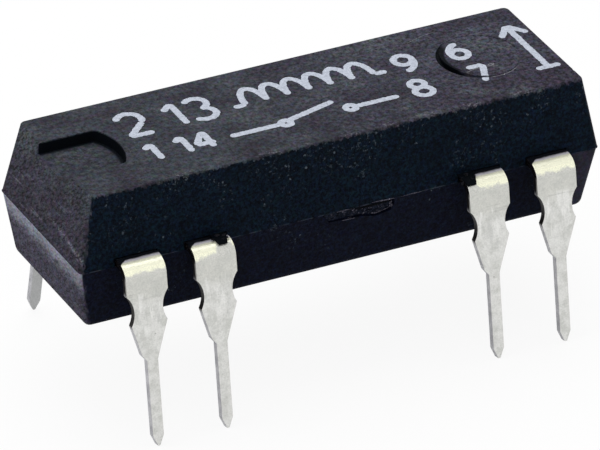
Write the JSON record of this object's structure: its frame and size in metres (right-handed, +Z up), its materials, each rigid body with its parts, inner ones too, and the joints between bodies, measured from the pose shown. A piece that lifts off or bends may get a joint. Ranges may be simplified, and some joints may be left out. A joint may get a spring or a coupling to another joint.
{
  "type": "reed relay",
  "caption": "Reed relay in a moulded dual in-line package with splayed tin-plated leads, with its reed switch, coil and lead frames inside.",
  "frame": {"origin": "midway between the lead tips, on the plane that they stand on", "axes": "+X along the body away from the index notch, +Y to the far row of leads, +Z up through the body's flat top"},
  "size_m": [0.0194, 0.0098, 0.0087],
  "materials": {
    "moulding_compound": "grainy moulded black epoxy",
    "tinned_strip": "matte tin plate on stamped strip",
    "seal_glass": "clear greenish glass",
    "reed_alloy": "bright nickel-iron",
    "bobbin_plastic": "natural moulded plastic",
    "enamelled_wire": "fine enamelled copper wire",
    "solder": "bright solder"
  },
  "bodies": {
    "relay": {"moulded_body": "moulding_compound", "contact_frame_left": "tinned_strip", "contact_frame_right": "tinned_strip", "coil_frame_left": "tinned_strip", "coil_frame_right": "tinned_strip", "glass_capsule": "seal_glass", "coil_bobbin": "bobbin_plastic", "coil_winding": "enamelled_wire", "solder_left": "solder", "solder_right": "solder"},
    "left_reed": {"reed_left": "reed_alloy"},
    "right_reed": {"reed_right": "reed_alloy"}
  },
  "joints": [
    {"name": "reed_left_flex", "type": "hinge", "parent": "relay", "child": "left_reed", "pos_m": [-0.0054, 0, 0.00661], "axis": [0, 1, 0], "range_deg": [0, 0.5], "stiffness_Nm_per_rad": 0.002},
    {"name": "reed_right_flex", "type": "hinge", "parent": "relay", "child": "right_reed", "pos_m": [0.0054, 0, 0.00661], "axis": [0, 1, 0], "range_deg": [0, 0.5], "stiffness_Nm_per_rad": 0.002}
  ],
  "couplings": [
    {"joint": "reed_right_flex", "follows": "reed_left_flex", "ratio": 1}
  ]
}
